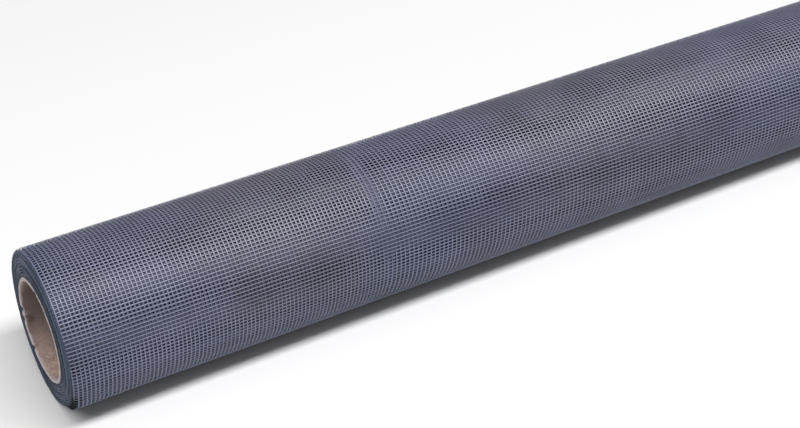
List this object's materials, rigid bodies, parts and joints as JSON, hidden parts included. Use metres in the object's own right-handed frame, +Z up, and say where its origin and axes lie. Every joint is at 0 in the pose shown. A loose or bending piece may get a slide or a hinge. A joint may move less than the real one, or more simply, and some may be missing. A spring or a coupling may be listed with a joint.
{
  "type": "roll of fiberglass insect screen",
  "caption": "Long slim roll of grey open-weave insect screen, wound on a hollow paperboard core that shows at both ends, with its free cut edge low on one side.",
  "frame": {"origin": "under the middle of the roll, on the surface that it rests on", "axes": "+X along the roll's axis, from the end with the nearer view of the turns to the other end; +Z up; the free cut edge of the cloth is low on the -Y side"},
  "size_m": [1.0024, 0.0622, 0.0615],
  "materials": {
    "screen": "vinyl-coated fiberglass yarn in an open plain weave, blue grey, soft sheen",
    "core": "spiral-wound kraft paperboard, brown inside, pale at its cut rim"
  },
  "bodies": {
    "root": {"core_tube": "core", "screen_roll": "screen"}
  },
  "joints": []
}
